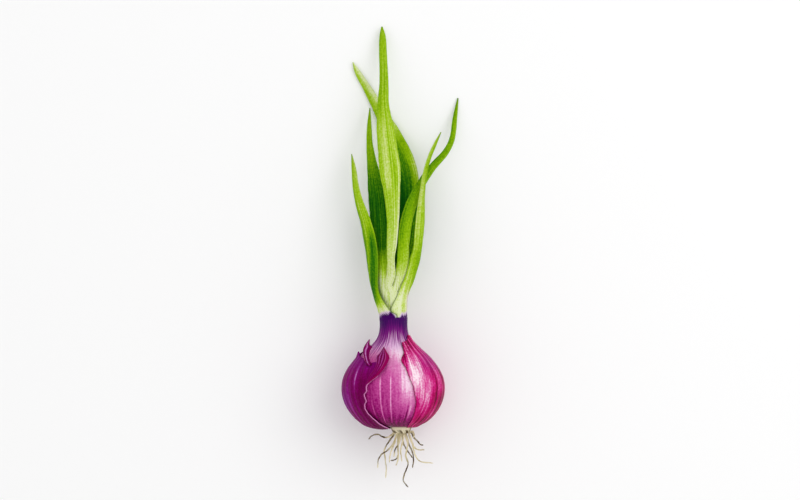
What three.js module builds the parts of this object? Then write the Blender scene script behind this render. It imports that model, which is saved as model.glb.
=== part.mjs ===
// A sprouted red onion set, pulled with its roots and lying on its side.
//
// Millimetres. +Z is up and the surface it lies on is z = 0. +Y runs along the plant, from the root
// plate to the leaf tips, and +X is to the right for someone looking straight down with the leaves
// pointing away. The origin is the flat spot under the bulb's widest place, where the onion rests.
//
// Angles round the plant are measured from the top (+Z) towards the right (+X), so 180 degrees is
// the underside.

import * as THREE from "three";

// ---- driving dimensions -------------------------------------------------------------------------

const BULB_RADIUS = 15.5; // the fleshy bulb at its widest
const SKIN_GAP = 0.2; // between the bulb and the dry skins
const SKIN_THICKNESS = 0.3;
const FLAT_DEPTH = 0.35; // how much of the round belly the resting spot takes away
const NECK_RADIUS = 4.3;
const NECK_TOP = 22.0; // where the neck ends and the leaf sheaths begin
const SHEATH_START = NECK_TOP + 0.3;
const PLATE_OFFSET = 2.3; // the root plate sits this far to the right of the bulb's middle

const SKIN_LIFT = SKIN_GAP + SKIN_THICKNESS; // outer face of the dry skins above the bulb
const AXIS_HEIGHT = BULB_RADIUS + SKIN_LIFT - FLAT_DEPTH; // height of the plant's middle line

const rad = THREE.MathUtils.degToRad;
const { lerp, smoothstep } = THREE.MathUtils;

// ---- colours and finishes -----------------------------------------------------------------------

function finish(color, roughness) {
  return new THREE.MeshStandardMaterial({ color, roughness, metalness: 0 });
}

const FLESH = finish(0xb2609c, 0.35);
const SKIN_PURPLE = finish(0x6b1450, 0.45);
const SKIN_MAGENTA = finish(0xa22a68, 0.4);
const PLATE = finish(0xcbb98f, 0.9);
const ROOT = finish(0xc6b98c, 0.8);
const LEAF_BRIGHT = finish(0x86b51a, 0.5);
const LEAF_DARK = finish(0x2f7411, 0.5);
const LEAF_OLIVE = finish(0x76a01c, 0.5);

// ---- shapes -------------------------------------------------------------------------------------

const plant = new THREE.Group();

function addPiece(name, geometry, material) {
  const piece = new THREE.Mesh(geometry, material);
  piece.name = name;
  plant.add(piece);
}

// A closed body through a row of rings. Every ring has the same even number of points, turning
// anticlockwise seen from the last ring's side. The ends are closed by a strip that joins point i to
// its partner on the ring's other side, so thin curved bands close cleanly.
function loft(rings) {
  const size = rings[0].length;
  const last = (rings.length - 1) * size;
  const faces = [];
  for (let j = 0; j < rings.length - 1; j++) {
    for (let i = 0; i < size; i++) {
      const a = j * size + i;
      const b = j * size + ((i + 1) % size);
      faces.push(a, b, b + size, a, b + size, a + size);
    }
  }
  for (let i = 0; i < size / 2 - 1; i++) {
    const [a, b, c, d] = [i, i + 1, size - 2 - i, size - 1 - i];
    faces.push(a, c, b, a, d, c);
    faces.push(last + a, last + b, last + c, last + a, last + c, last + d);
  }
  const geometry = new THREE.BufferGeometry().setFromPoints(rings.flat());
  geometry.setIndex(faces);
  geometry.computeVertexNormals();
  return geometry;
}

// A value that runs smoothly through a list, for t from 0 to 1.
function through(values) {
  const curve = new THREE.CatmullRomCurve3(
    values.map((v) => new THREE.Vector3(...v)),
    false,
    "catmullrom",
    0.5,
  );
  return (t) => curve.getPoint(t);
}

// ---- the bulb -----------------------------------------------------------------------------------

// Radius and height of the fleshy bulb, from the root plate up to the neck.
const PROFILE = [
  [3.2, -12.2],
  [7.2, -11.6],
  [11.0, -9.4],
  [13.9, -5.9],
  [15.3, -2.0],
  [15.3, 2.0],
  [13.9, 5.6],
  [11.2, 9.2],
  [8.0, 12.2],
  [5.4, 15.0],
  [NECK_RADIUS + 0.1, 18.0],
  [NECK_RADIUS, NECK_TOP],
];
const PROFILE_STEPS = 24;
const profileAt = through(PROFILE.map(([r, y]) => [r, y, 0]));

// The meridians gather at the root plate, which is off to one side.
function sideways(r, y) {
  return y < -8 ? PLATE_OFFSET * (1 - smoothstep(r, 3.2, 9.5)) : 0;
}

// A point on the bulb: s from 0 at the root plate to 1 at the neck, lifted off the flesh. The belly
// is flattened where it rests, by as much as leaves room for the layers under it.
function bulbPoint(s, angle, lift) {
  const here = profileAt(s);
  const step = profileAt(Math.min(s + 0.002, 1)).sub(profileAt(Math.max(s - 0.002, 0))).normalize();
  const r = here.x + lift * step.y;
  const y = here.y - lift * step.x;
  const z = AXIS_HEIGHT + r * Math.cos(angle);
  return new THREE.Vector3(r * Math.sin(angle) + sideways(r, y), y, Math.max(z, SKIN_LIFT - lift));
}

function bulb() {
  const outline = [new THREE.Vector2(0, PROFILE[0][1])];
  for (let j = 0; j <= PROFILE_STEPS; j++) {
    const p = profileAt(j / PROFILE_STEPS);
    outline.push(new THREE.Vector2(p.x, p.y));
  }
  outline.push(new THREE.Vector2(0, NECK_TOP));
  const geometry = new THREE.LatheGeometry(outline, 40);
  const position = geometry.getAttribute("position");
  for (let i = 0; i < position.count; i++) {
    const [x, y, z] = [position.getX(i), position.getY(i), position.getZ(i)];
    const moved = sideways(Math.hypot(x, z), y);
    position.setXYZ(i, x + moved, y, Math.max(z + AXIS_HEIGHT, SKIN_LIFT));
  }
  return geometry;
}

// ---- dry skins ----------------------------------------------------------------------------------

// A torn sheet of dry skin over the bulb. from and to list [s, degrees]: where the edges that run up
// its two sides are, the second at greater angles. top lists s along its upper edge between them.
function drySkin({ from, to, top }, across, along) {
  const edge = (list) => {
    const curve = through(list.map(([s, degrees]) => [s, degrees, 0]));
    const samples = Array.from({ length: 101 }, (_, i) => curve(i / 100));
    return (s) => {
      const k = samples.findIndex((p) => p.x >= s);
      const [a, b] = k < 1 ? samples.slice(k) : samples.slice(k - 1);
      return k < 1 ? (k ? samples[100] : samples[0]).y : lerp(a.y, b.y, (s - a.x) / (b.x - a.x));
    };
  };
  const [near, far] = [edge(from), edge(to)];
  const height = through(top.map((s) => [s, 0, 0]));
  const rings = [];
  for (let j = 0; j <= along; j++) {
    const outer = [];
    const inner = [];
    for (let i = 0; i <= across; i++) {
      const a = i / across;
      const s = lerp(from[0][0], height(a).x, j / along);
      const angle = rad(lerp(near(s), far(s), a));
      outer.push(bulbPoint(s, angle, SKIN_LIFT));
      inner.unshift(bulbPoint(s, angle, SKIN_GAP));
    }
    rings.push([...outer, ...inner]);
  }
  return loft(rings);
}

// The brighter sheet on the right, from its torn edge in front round to the back.
const SKIN_RIGHT = {
  from: [[0.04, 31], [0.2, 30], [0.36, 25], [0.46, 19], [0.54, 15], [0.6, 12], [0.68, 18], [0.76, 24]],
  to: [[0.04, 142], [0.3, 139], [0.55, 142], [0.86, 140]],
  top: [0.74, 0.8, 0.82, 0.83],
};

// The darker sheet, from the back round the whole underside, with the resting spot, to its torn edge
// in front on the left.
const SKIN_LEFT = {
  from: [[0.04, -213], [0.3, -216], [0.55, -213], [0.86, -215]],
  to: [[0.04, -20], [0.12, -27], [0.2, -34], [0.3, -35], [0.4, -31], [0.5, -20], [0.6, -8], [0.66, -6]],
  top: [0.76, 0.74, 0.72, 0.7, 0.66, 0.6, 0.64],
};

// ---- bands: leaves and loose shreds of skin -----------------------------------------------------

// A curved band that runs along a line. Each station is
//   [x, y, height over the middle line, width round the curve, curl, facing, thickness]
// where curl is the angle that the band's curve takes up, and facing is the direction of its crown.
function band(stations, along, across = 8) {
  const line = through(stations.map(([x, y, z]) => [x, y, z + AXIS_HEIGHT]));
  const form = through(stations.map((s) => s.slice(3, 6)));
  const wall = through(stations.map((s) => [s[6], 0, 0]));
  const rings = [];
  for (let j = 0; j <= along; j++) {
    const t = j / along;
    const at = line(t);
    const tangent = line(Math.min(t + 0.004, 1)).sub(line(Math.max(t - 0.004, 0))).normalize();
    const { x: width, y: curl, z: facing } = form(t);
    const up = new THREE.Vector3(Math.sin(rad(facing)), 0, Math.cos(rad(facing)));
    up.addScaledVector(tangent, -up.dot(tangent)).normalize();
    const side = new THREE.Vector3().crossVectors(tangent, up);
    const bend = width / rad(curl);
    const thickness = wall(t).x;
    const outer = [];
    const inner = [];
    for (let i = 0; i <= across; i++) {
      const u = (2 * i) / across - 1;
      const phi = (u * rad(curl)) / 2;
      const out = side.clone().multiplyScalar(Math.sin(phi)).addScaledVector(up, Math.cos(phi));
      const depth = thickness * lerp(0.3, 1, 1 - u * u);
      const centre = at.clone().addScaledVector(up, -bend);
      outer.push(onSurface(centre.clone().addScaledVector(out, bend)));
      inner.unshift(onSurface(centre.addScaledVector(out, bend - depth)));
    }
    rings.push([...outer, ...inner]);
  }
  return loft(rings);
}

// What would sink into the surface is pressed flat on it, a hair thicker than nothing.
function onSurface(p) {
  if (p.z < 0) p.z = p.z * 0.02;
  return p.z < 0 ? p.setZ(0) : p;
}

// The first stations of a leaf: its sheath, a curved wall round the plant's middle line. Each
// [height, radius, curl, facing] is one.
function sheath(levels, thickness = 0.42) {
  return levels.map(([y, r, curl, facing]) => [
    r * Math.sin(rad(facing)),
    y,
    r * Math.cos(rad(facing)),
    r * rad(curl),
    curl,
    facing,
    thickness,
  ]);
}

const LEAVES = {
  // Outermost on the left: its sheath wraps the front low down, then opens in a slanting edge.
  leaf_outer_left: {
    material: LEAF_OLIVE,
    stations: [
      ...sheath([[SHEATH_START, 4.38, 225, -100], [25.2, 4.4, 165, -100]]),
      [-5.0, 29, 0.3, 7.4, 120, -85, 0.5],
      [-6.0, 33, 0.8, 5.6, 100, -68, 0.6],
      [-6.7, 38, 1.1, 5.1, 90, -52, 0.8],
      [-7.0, 43, 1.0, 4.9, 85, -40, 0.9],
      [-7.9, 48.5, 0.3, 4.6, 80, -30, 0.9],
      [-9.5, 53.5, -1.0, 3.8, 80, -25, 0.9],
      [-11.4, 61, -4.0, 2.6, 90, -20, 0.8],
      [-12.5, 67, -6.8, 1.9, 100, -20, 0.6],
      [-12.9, 71.6, -9.0, 0.5, 110, -20, 0.3],
    ],
  },
  leaf_outer_right: {
    material: LEAF_OLIVE,
    stations: [
      ...sheath([[SHEATH_START, 3.84, 228, 97], [25.4, 3.86, 215, 97]]),
      [4.7, 29, 0.3, 9.2, 140, 84, 0.45],
      [5.9, 33, 1.2, 6.0, 105, 62, 0.5],
      [6.8, 38, 2.1, 3.9, 85, 42, 0.7],
      [7.6, 44.5, 2.7, 3.4, 85, 30, 0.8],
      [8.1, 50, 2.7, 3.2, 90, 25, 0.8],
      [8.6, 56, 2.3, 2.5, 100, 20, 0.8],
      [9.2, 62.5, 1.3, 2.0, 110, 20, 0.7],
      [10.4, 68.5, -0.2, 1.8, 110, 20, 0.6],
      [12.2, 73.6, -1.9, 1.5, 110, 20, 0.5],
      [14.5, 78.3, -3.8, 0.5, 110, 20, 0.25],
    ],
  },
  leaf_tall_centre: {
    material: LEAF_BRIGHT,
    stations: [
      ...sheath([[SHEATH_START, 3.3, 170, -25], [26, 3.4, 150, -25]]),
      [-1.7, 30, 3.5, 7.0, 110, -25, 0.45],
      [-2.2, 33.8, 3.7, 4.6, 90, -20, 0.5],
      [-1.2, 38, 3.8, 2.9, 80, -8, 0.6],
      [-0.6, 45, 3.9, 3.1, 80, 0, 0.8],
      [-0.1, 52.5, 3.7, 4.1, 80, 0, 1.0],
      [-0.5, 60.5, 3.0, 5.5, 80, 0, 1.2],
      [-1.3, 68.2, 1.8, 7.5, 85, 0, 1.3],
      [-1.9, 75, 0.4, 7.1, 85, 0, 1.3],
      [-2.7, 81.5, -1.4, 5.9, 90, 0, 1.2],
      [-3.2, 88, -3.7, 3.9, 95, 0, 1.1],
      [-3.1, 96, -6.9, 3.2, 100, 0, 1.0],
      [-3.4, 104, -10.3, 2.8, 100, 0, 0.9],
      [-3.5, 110.8, -13.4, 0.7, 110, 0, 0.3],
    ],
  },
  leaf_inner_left: {
    material: LEAF_DARK,
    stations: [
      ...sheath([[SHEATH_START, 2.76, 150, -95], [27, 2.85, 130, -92]]),
      [-3.5, 32, 0.6, 4.4, 100, -60, 0.42],
      [-3.9, 37, 0.4, 4.3, 85, -35, 0.6],
      [-4.2, 43, -0.5, 5.0, 70, -20, 0.8],
      [-4.6, 50, -1.9, 5.8, 60, -10, 1.0],
      [-5.0, 57.5, -3.7, 6.2, 60, -8, 1.1],
      [-5.7, 65, -6.0, 5.2, 65, -5, 1.0],
      [-7.0, 70.8, -8.0, 3.0, 80, -5, 0.8],
      [-7.4, 77, -10.4, 2.0, 90, -5, 0.6],
      [-7.2, 85.4, -13.6, 0.5, 100, -5, 0.25],
    ],
  },
  leaf_curved_right: {
    material: LEAF_OLIVE,
    stations: [
      ...sheath([[SHEATH_START, 2.22, 170, 50], [28, 2.35, 150, 48]]),
      [1.7, 33, 2.5, 4.0, 110, 25, 0.45],
      [2.6, 38.9, 3.0, 4.0, 80, 15, 0.7],
      [2.9, 44.4, 2.9, 4.4, 75, 10, 0.9],
      [3.8, 50.5, 2.3, 4.5, 75, 8, 1.0],
      [5.6, 56.8, 1.0, 3.8, 80, 8, 0.9],
      [8.6, 63, -1.2, 3.0, 90, 10, 0.8],
      [12.6, 68.6, -3.9, 2.5, 95, 12, 0.7],
      [16.2, 73.4, -6.8, 2.3, 95, 15, 0.7],
      [18.3, 79, -10.3, 1.9, 100, 15, 0.6],
      [19.2, 84.6, -13.9, 1.6, 100, 15, 0.6],
      [19.8, 88.8, -15.3, 0.6, 100, 15, 0.3],
    ],
  },
  leaf_broad_back: {
    material: LEAF_DARK,
    stations: [
      ...sheath([[SHEATH_START, 1.62, 200, 150], [29, 1.75, 160, 150]], 0.8),
      [2.0, 36, -2.6, 4.4, 90, 165, 0.6],
      [3.3, 42.5, -4.0, 5.6, 60, 172, 0.7],
      [4.2, 50, -6.0, 6.4, 50, 178, 0.8],
      [4.5, 57.5, -8.4, 7.0, 45, 180, 0.8],
      [4.1, 65, -11.0, 7.2, 45, 180, 0.8],
      [2.5, 71.5, -13.2, 7.0, 45, 180, 0.8],
      [-0.7, 77.6, -14.8, 6.0, 45, 180, 0.7],
      [-4.7, 84.4, -15.7, 4.5, 45, 180, 0.6],
      [-8.4, 91.4, -15.7, 3.1, 45, 180, 0.5],
      [-11.2, 96.8, -15.2, 1.9, 45, 180, 0.4],
      [-12.5, 99.8, -14.8, 0.5, 45, 180, 0.25],
    ],
  },
};

// Two shreds of an older skin, still held at the left shoulder.
const SHREDS = {
  skin_shred_upright: [
    [-8.6, 7.3, 10.9, 1.9, 120, -35, 0.25],
    [-8.8, 9.6, 10.0, 2.1, 140, -40, 0.25],
    [-8.4, 11.9, 8.8, 1.9, 150, -45, 0.25],
    [-7.5, 13.9, 7.4, 1.3, 150, -50, 0.22],
    [-7.2, 15.0, 6.6, 0.5, 140, -50, 0.2],
  ],
  skin_shred_folded: [
    [-7.6, 2.6, 14.6, 1.4, 150, -25, 0.25],
    [-5.8, 5.2, 14.6, 2.1, 160, -20, 0.25],
    [-4.2, 7.8, 14.0, 2.9, 150, -15, 0.25],
    [-3.2, 10.0, 12.8, 3.3, 130, -10, 0.25],
    [-2.9, 11.8, 11.2, 1.6, 120, -10, 0.25],
  ],
};

// ---- root plate and roots -----------------------------------------------------------------------

function rootPlate() {
  const outline = [
    [0, -12.5],
    [3.1, -12.52],
    [3.5, -12.95],
    [3.2, -13.6],
    [2.1, -14.1],
    [0, -14.3],
  ].map(([r, y]) => new THREE.Vector2(r, y));
  const geometry = new THREE.LatheGeometry(outline.reverse(), 20);
  return geometry.translate(PLATE_OFFSET, 0, AXIS_HEIGHT);
}

const ROOT_RADIUS = 0.3;
const ROOT_TIP_RADIUS = 0.17;

// Each root as points [x, y, height over the middle line].
const ROOTS = [
  [[-0.4, -14.3, 1.0], [-1.6, -14.8, 1.6], [-3.2, -14.8, 2.0], [-4.9, -13.95, 2.2], [-6.7, -14.4, 1.6], [-7.8, -15.5, 0.8]],
  [[0.1, -14.5, -0.6], [-1.2, -15.9, -1.3], [-2.3, -17.6, -1.8], [-2.9, -19.2, -2.2], [-2.6, -21.6, -2.6], [-2.3, -24.6, -3.4], [-2.45, -27.7, -4.4]],
  [[0.9, -14.75, 0.6], [-0.1, -16.8, 1.2], [-1.7, -18.8, 1.5], [-3.6, -20.1, 1.4], [-4.7, -21.8, 1.0], [-4.95, -24.4, 0.2]],
  [[0.8, -14.65, 2.0], [0.2, -16.9, 3.0], [-0.6, -18.8, 3.6], [-1.15, -20.8, 3.9], [-1.3, -22.7, 3.9]],
  [[1.3, -14.7, -1.5], [1.3, -17.3, -2.2], [1.45, -20.0, -2.6], [0.8, -21.7, -2.8], [-1.0, -22.25, -3.3]],
  [[2.3, -14.8, 1.4], [1.5, -17.1, 2.2], [0.5, -18.6, 2.6], [0.1, -21.0, 2.8]],
  [[1.8, -14.75, 0.1], [1.35, -18.0, -0.1], [1.5, -20.4, -0.4], [1.25, -22.3, -0.8], [0.75, -23.7, -1.2]],
  [[3.2, -14.7, 2.2], [2.6, -17.0, 3.2], [2.2, -19.0, 3.8], [2.6, -22.35, 4.0]],
  [
    [3.6, -14.65, 0.8], [4.4, -16.6, 1.4], [4.1, -18.8, 1.6], [3.8, -20.6, 1.5], [4.5, -23.1, 1.1],
    [3.9, -25.0, 0.5], [3.2, -26.9, -0.2], [3.1, -28.6, -0.8], [4.6, -30.5, -1.8],
  ],
  [[2.7, -14.75, -0.8], [3.0, -16.6, -1.4], [3.9, -18.5, -1.9], [5.0, -20.1, -2.4], [5.9, -21.3, -2.8]],
  [[3.9, -14.5, -1.9], [4.8, -17.2, -3.0], [5.8, -19.4, -3.8], [6.2, -21.8, -4.7], [5.9, -24.5, -5.9]],
  [[4.8, -14.2, 0.9], [5.8, -16.4, 1.6], [6.2, -18.6, 1.8], [6.9, -20.8, 1.6], [8.4, -22.4, 1.1], [12.35, -22.95, 0.1]],
  [[4.7, -14.3, -0.5], [5.6, -16.4, -0.9], [6.5, -18.1, -1.1], [7.8, -18.8, -1.3], [9.6, -18.8, -1.9]],
  [[5.5, -13.9, -1.4], [6.4, -15.1, -2.1], [7.4, -16.1, -2.6], [8.3, -17.15, -3.1], [9.25, -17.4, -3.6]],
  [[5.9, -13.5, 0.5], [6.3, -13.9, 0.8], [6.35, -14.5, 0.9], [6.1, -15.0, 0.8]],
];

function root(points) {
  const sides = 6;
  const path = new THREE.CatmullRomCurve3(
    points.map(([x, y, z]) => new THREE.Vector3(x, y, z + AXIS_HEIGHT)),
    false,
    "catmullrom",
    0.5,
  );
  const steps = Math.max(6, Math.round(path.getLength() / 1.3));
  const { normals, binormals } = path.computeFrenetFrames(steps, false);
  const rings = [];
  for (let j = 0; j <= steps; j++) {
    const radius = lerp(ROOT_RADIUS, ROOT_TIP_RADIUS, j / steps);
    const centre = path.getPointAt(j / steps);
    const ring = [];
    for (let i = 0; i < sides; i++) {
      const turn = (i / sides) * 2 * Math.PI;
      const out = normals[j].clone().multiplyScalar(radius * Math.cos(turn));
      ring.push(out.addScaledVector(binormals[j], radius * Math.sin(turn)).add(centre));
    }
    rings.push(ring);
  }
  return loft(rings);
}

// ---- the plant ----------------------------------------------------------------------------------

addPiece("bulb", bulb(), FLESH);
addPiece("dry_skin_left", drySkin(SKIN_LEFT, 22, 14), SKIN_PURPLE);
addPiece("dry_skin_right", drySkin(SKIN_RIGHT, 14, 14), SKIN_MAGENTA);
for (const [name, stations] of Object.entries(SHREDS)) {
  addPiece(name, band(stations, 8, 6), SKIN_PURPLE);
}
for (const [name, leaf] of Object.entries(LEAVES)) {
  addPiece(name, band(leaf.stations, 2 * leaf.stations.length), leaf.material);
}
addPiece("root_plate", rootPlate(), PLATE);
ROOTS.forEach((points, i) => {
  addPiece(`root_${String(i + 1).padStart(2, "0")}`, root(points), ROOT);
});

export default plant;
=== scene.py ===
"""A sprouted red onion set, lying on its side.

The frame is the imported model's: metres, +Z up, the surface at z = 0, and +Y along the plant from its
roots to its leaf tips. Shapes are worked out in millimetres from the plant's middle line, and grid_mesh
turns them into metres. Angles round the plant are in degrees from the top (+Z) towards the right (+X).
"""

import bpy
import numpy as np
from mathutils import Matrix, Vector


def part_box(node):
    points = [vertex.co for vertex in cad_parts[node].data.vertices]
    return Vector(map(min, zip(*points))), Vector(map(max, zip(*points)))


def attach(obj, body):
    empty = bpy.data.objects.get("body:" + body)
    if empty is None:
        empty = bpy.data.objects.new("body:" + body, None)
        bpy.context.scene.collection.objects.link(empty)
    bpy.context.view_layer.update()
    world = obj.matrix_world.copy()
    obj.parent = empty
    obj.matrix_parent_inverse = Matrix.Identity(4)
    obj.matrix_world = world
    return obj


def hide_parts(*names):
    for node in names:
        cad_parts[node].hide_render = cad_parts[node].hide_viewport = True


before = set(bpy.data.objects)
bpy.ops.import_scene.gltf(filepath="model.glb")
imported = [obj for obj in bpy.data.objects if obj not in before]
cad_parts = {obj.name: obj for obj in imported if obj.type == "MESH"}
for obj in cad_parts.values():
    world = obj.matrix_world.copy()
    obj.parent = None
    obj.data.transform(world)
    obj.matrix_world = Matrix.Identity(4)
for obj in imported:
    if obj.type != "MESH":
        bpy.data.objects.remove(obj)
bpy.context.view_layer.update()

bl_info = {
    "name": "Sprouted onion set",
    "version": (1, 0, 0),
    "blender": (4, 5, 0),
    "location": "3D View > Sidebar > Onion",
    "description": "Builds a small red onion with dry skins, leaves and roots",
    "category": "Add Mesh",
}

MM = 0.001
BULB_LOW, BULB_HIGH = (np.array(corner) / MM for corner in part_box("bulb"))
PLATE_LOW, PLATE_HIGH = (np.array(corner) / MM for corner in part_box("root_plate"))
BULB_RADIUS = (BULB_HIGH[0] - BULB_LOW[0]) / 2
AXIS_HEIGHT = BULB_HIGH[2] - BULB_RADIUS  # of the plant's middle line over the surface
SKIN_LIFT = BULB_LOW[2]  # outer face of the dry skins over the bulb
PLATE_OFFSET = (PLATE_LOW[0] + PLATE_HIGH[0]) / 2  # the root plate sits to the right of the middle
NECK_TOP = BULB_HIGH[1]


# ---- curves and small formulas ------------------------------------------------------------------


def spline(points, t):
    """Catmull-Rom curve through the points, for t from 0 to 1 with equal steps between points."""
    p = np.asarray(points, float)
    p = np.vstack([2 * p[0] - p[1], p, 2 * p[-1] - p[-2]])
    u = np.clip(t, 0, 1) * (len(p) - 3)
    k = np.minimum(np.floor(u).astype(int), len(p) - 4)
    f = (u - k)[..., None]
    a, b, c, d = p[k], p[k + 1], p[k + 2], p[k + 3]
    bend = (2 * a - 5 * b + 4 * c - d) * f**2 + (3 * b - a - 3 * c + d) * f**3
    return b + 0.5 * ((c - a) * f + bend)


def smoothstep(low, high, x):
    """0 below low, 1 above high, and 3t^2 - 2t^3 between."""
    t = np.clip((x - low) / (high - low), 0, 1)
    return t * t * (3 - 2 * t)


def spot(x, y, centre, reach):
    """A soft round patch: e to the minus squared distance from its centre, in units of its reach."""
    return np.exp(-(((x - centre[0]) / reach[0]) ** 2) - ((y - centre[1]) / reach[1]) ** 2)


def ripple(x, seed, waves=5):
    """A smooth random wave about zero: sines of rising frequency with seeded phases, each lower."""
    draw = np.random.default_rng(seed)
    total = np.zeros_like(x, dtype=float)
    for k in range(1, waves + 1):
        total += np.sin(k * x * draw.uniform(0.8, 1.25) + draw.uniform(0, 6.28)) / k
    return total / 2


def unit(v):
    """Vectors scaled to length 1."""
    return v / np.linalg.norm(v, axis=-1, keepdims=True)


# ---- meshes -------------------------------------------------------------------------------------


def grid_mesh(name, rings, marks, material):
    """A closed body from rings of points in millimetres, with every ring joined to the next by quads.
    Each end ring is closed by a strip of quads that joins its points to their partners across it.
    marks are named values that vary over the surface, for the materials."""
    rows, around = rings.shape[:2]
    index = np.arange(rows * around).reshape(rows, around)
    step = np.roll(index, -1, axis=1)
    walls = np.stack([index[:-1], step[:-1], step[1:], index[1:]], axis=-1).reshape(-1, 4)
    i = np.arange(around // 2 - 1)
    strip = np.stack([i, i + 1, around - 2 - i, around - 1 - i], axis=-1)
    quads = np.vstack([walls, strip[:, ::-1], strip + index[-1, 0]])
    points = rings.reshape(-1, 3) * MM
    mesh = bpy.data.meshes.new(name)
    mesh.vertices.add(len(points))
    mesh.vertices.foreach_set("co", points.ravel())
    mesh.loops.add(quads.size)
    mesh.loops.foreach_set("vertex_index", quads.ravel().astype(np.int32))
    mesh.polygons.add(len(quads))
    mesh.polygons.foreach_set("loop_start", np.arange(0, quads.size, 4, dtype=np.int32))
    mesh.update(calc_edges=True)
    for key, value in marks.items():
        vector = value.ndim == 3
        layer = mesh.attributes.new(key, "FLOAT_VECTOR" if vector else "FLOAT", "POINT")
        layer.data.foreach_set("vector" if vector else "value", value.astype(np.float32).ravel())
    mesh.shade_smooth()
    mesh.materials.append(material)
    piece = bpy.data.objects.new(name, mesh)
    bpy.context.scene.collection.objects.link(piece)
    return piece


def finish_piece(piece, node):
    """The piece stands for a node of the model, and rides on its one body."""
    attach(piece, "root")
    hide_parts(node)


# ---- the bulb's surface -------------------------------------------------------------------------

# Radius and height of the fleshy bulb, from the root plate up to the neck.
PROFILE = [
    (3.2, -12.2),
    (7.2, -11.6),
    (11.0, -9.4),
    (13.9, -5.9),
    (15.3, -2.0),
    (15.3, 2.0),
    (13.9, 5.6),
    (11.2, 9.2),
    (8.0, 12.2),
    (5.4, 15.0),
    (4.4, 18.0),
    (4.3, NECK_TOP),
]
SAMPLES = np.linspace(0, 1, 600)
PROFILE_LINE = spline(PROFILE, SAMPLES)


def rise(height):
    """The place along the profile, from 0 to 1, at a height over the bulb's middle."""
    return np.interp(height, PROFILE_LINE[:, 1], SAMPLES)


def sideways(radius, height):
    """How far a ring is moved to the right: the meridians gather at the off-centre root plate."""
    return np.where(height < -8, PLATE_OFFSET * (1 - smoothstep(3.2, 9.5, radius)), 0)


def bulb_point(s, angle, lift):
    """A point on the bulb: the profile at s, moved out by lift along its normal, turned by the angle
    in degrees round the middle line, and pressed flat where it would pass below the resting spot."""
    s, angle, lift = np.broadcast_arrays(s, angle, lift)
    here = spline(PROFILE, s)
    slope = unit(spline(PROFILE, s + 0.002) - spline(PROFILE, s - 0.002))
    r = here[..., 0] + lift * slope[..., 1]
    y = here[..., 1] - lift * slope[..., 0]
    turn = np.radians(angle)
    floor = np.maximum(SKIN_LIFT - lift, 0)
    z = np.maximum(AXIS_HEIGHT + r * np.cos(turn), floor)
    return np.stack([r * np.sin(turn) + sideways(r, y), y, z], axis=-1)


def angle_seen(x, y):
    """The angle of the bulb's point that is seen from above at (x, y)."""
    r = np.interp(y, PROFILE_LINE[:, 1], PROFILE_LINE[:, 0]) + SKIN_LIFT
    return np.degrees(np.arcsin(np.clip((x - sideways(r, y)) / r, -1, 1)))


def meridian_grain(angle, height):
    """Coordinates for streaks that follow the meridians: a circle round the plant, long along it."""
    turn = np.radians(angle)
    return np.stack([8 * np.cos(turn), 8 * np.sin(turn), height * 0.1], axis=-1)


# ---- thin sheets and bands ----------------------------------------------------------------------


def skin_sheet(start, end, base, top, lift, thickness, size):
    """A sheet of dry skin over the bulb. start and end give the angle of its two side edges at any
    place s, top the s of its upper edge across it. a runs from start to end, v from the base up.
    The outer face is lift over the bulb and the inner one lies under it by the thickness."""
    a = np.linspace(0, 1, size[0]) ** 1.5
    v = np.linspace(0, 1, size[1])[:, None]
    s = base + (top(a) - base) * v
    near, far = start(s), end(s)
    angle = near + (far - near) * a
    height = spline(PROFILE, s)[..., 1]
    radius = spline(PROFILE, s)[..., 0]
    from_edge = np.abs(angle - near) * np.pi / 180 * radius
    raised = lift(angle, height, from_edge)
    outer = bulb_point(s, angle, raised)
    inner = bulb_point(s, angle, raised - thickness)
    return outer, inner, angle, height, from_edge


def wall_rings(outer, inner):
    """Rings round a sheet: across its outer face, and back across its inner one."""
    return np.concatenate([outer, inner[:, ::-1]], axis=1)


def both_faces(mark):
    """A mark given across a sheet, for its outer and inner faces."""
    return np.concatenate([mark, mark[:, ::-1]], axis=1)


def band(stations, steps, across, ribs=0, rib_depth=0.0, seed=0):
    """A curved band along a line. Each station is (x, y, height over the middle line, width seen
    from its crown, curl, facing, thickness). At each step the section is an arc that takes up the
    curl angle, its crown facing the given angle, with grooves of a cosine across the outer face and
    a wall that thins towards both edges."""
    table = np.asarray(stations, float)
    t = np.linspace(0, 1, steps + 1)
    at = spline(table[:, :3], t) + [0, 0, AXIS_HEIGHT]
    width, curl, facing, thickness = spline(table[:, 3:], t).T
    tangent = unit(spline(table[:, :3], t + 0.004) - spline(table[:, :3], t - 0.004))
    turn = np.radians(facing)
    up = np.stack([np.sin(turn), np.zeros_like(turn), np.cos(turn)], axis=-1)
    up = unit(up - tangent * np.sum(up * tangent, axis=-1, keepdims=True))
    side = np.cross(tangent, up)
    half = np.radians(curl) / 2
    bend = width / 2 / np.sin(np.minimum(half, np.pi / 2))
    u = np.linspace(-1, 1, across + 1)
    phi = u * half[:, None]
    out = side[:, None] * np.sin(phi)[..., None] + up[:, None] * np.cos(phi)[..., None]
    centre = (at - up * bend[:, None])[:, None]
    groove = rib_depth * (np.cos(ribs * np.pi * u) - 1) * (1 - u**6)
    wobble = 1 + 0.03 * ripple(at[:, 1] * 0.5, seed)[:, None] * np.abs(u) ** 3
    depth = thickness[:, None] * (0.25 + 0.75 * (1 - u**2))
    outer = centre + out * (bend[:, None] * wobble + groove)[..., None]
    inner = centre + out * (bend[:, None] * wobble - depth)[..., None]
    for face in (outer, inner):
        face[..., 2] = np.maximum(face[..., 2], 0)
    return outer, inner, np.broadcast_to(u, phi.shape), at[:, 1:2] + 0 * phi


# ---- material tools -----------------------------------------------------------------------------


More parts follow.
